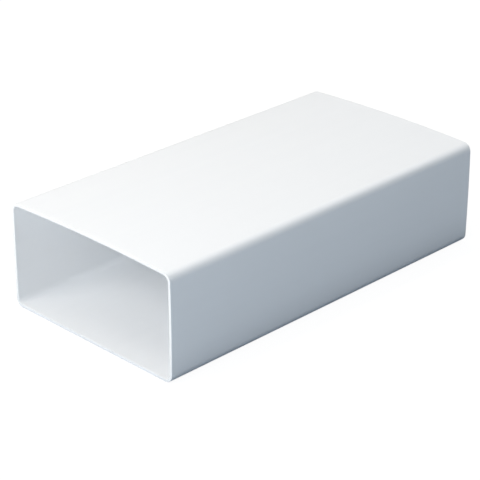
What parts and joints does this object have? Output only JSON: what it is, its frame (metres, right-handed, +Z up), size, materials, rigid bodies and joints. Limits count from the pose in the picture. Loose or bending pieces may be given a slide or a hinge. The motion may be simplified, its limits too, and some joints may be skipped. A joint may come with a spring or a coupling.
{
  "type": "flat channel duct",
  "caption": "Straight length of rectangular white plastic ventilation duct with rounded long corners, a thin even wall, a slightly crowned top and open square-cut ends.",
  "frame": {"origin": "on the flat underside, at the middle of the width and of the length", "axes": "+X across the duct, +Y along the airflow, +Z up through the crowned top wall"},
  "size_m": [0.1106, 0.21, 0.0564],
  "materials": {
    "white_pvc": "smooth satin extrusion, white through the wall"
  },
  "bodies": {
    "root": {"duct": "white_pvc"}
  },
  "joints": []
}
